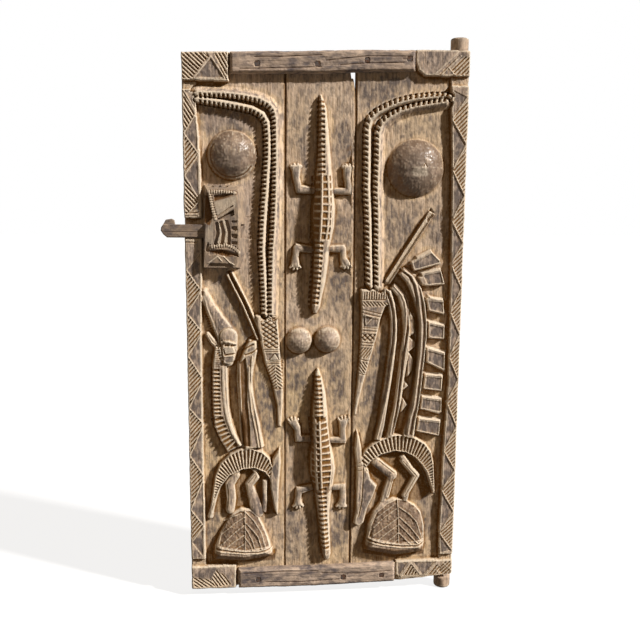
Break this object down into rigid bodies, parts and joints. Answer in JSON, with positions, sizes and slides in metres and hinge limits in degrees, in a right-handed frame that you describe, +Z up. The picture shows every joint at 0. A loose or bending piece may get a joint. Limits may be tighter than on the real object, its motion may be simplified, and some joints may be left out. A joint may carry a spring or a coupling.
{
  "type": "carved granary door",
  "caption": "Wooden granary door of carved planks with end battens, round pivot pintles and a pegged lock case holding a sliding hooked bolt and drop pins.",
  "frame": {"origin": "on the upright axis of the two pintles, at the shoulder where the lower pintle leaves the door's lower edge", "axes": "+Z up along the pintles, +X to the right seen from the carved front, +Y through the door from the carved front to the plain back"},
  "size_m": [0.661, 0.058, 1.253],
  "materials": {
    "plank_wood": "hand-carved hardwood, dark worn patina on raised faces, ochre dust in the recesses",
    "batten_wood": "split hardwood, weathered grey-brown, open grain",
    "lock_wood": "carved hardwood, rubbed edges, dusty recesses",
    "bolt_wood": "hand-polished by use",
    "peg_wood": "whittled, dry",
    "forged_iron": "forged, dark rust"
  },
  "bodies": {
    "door": {"left_plank": "plank_wood", "centre_plank": "plank_wood", "right_plank": "plank_wood", "top_batten": "batten_wood", "bottom_batten": "batten_wood", "top_batten_nails": "forged_iron", "bottom_batten_nails": "forged_iron", "lock_case": "lock_wood", "lock_case_pegs": "peg_wood", "lock_channel_plugs": "peg_wood"},
    "bolt": {"lock_bolt": "bolt_wood"},
    "tumbler_1": {"lock_tumbler_1": "forged_iron"},
    "tumbler_2": {"lock_tumbler_2": "forged_iron"},
    "tumbler_3": {"lock_tumbler_3": "forged_iron"}
  },
  "joints": [
    {"name": "bolt_slide", "type": "slide", "parent": "door", "child": "bolt", "axis": [1, 0, 0], "range_m": [0, 0.058]},
    {"name": "tumbler_1_drop", "type": "slide", "parent": "door", "child": "tumbler_1", "axis": [0, 0, 1], "range_m": [-0.01, 0]},
    {"name": "tumbler_2_drop", "type": "slide", "parent": "door", "child": "tumbler_2", "axis": [0, 0, 1], "range_m": [-0.01, 0]},
    {"name": "tumbler_3_drop", "type": "slide", "parent": "door", "child": "tumbler_3", "axis": [0, 0, 1], "range_m": [-0.01, 0]}
  ],
  "couplings": [
    {"joint": "tumbler_2_drop", "follows": "tumbler_1_drop", "ratio": 1},
    {"joint": "tumbler_3_drop", "follows": "tumbler_1_drop", "ratio": 1}
  ]
}
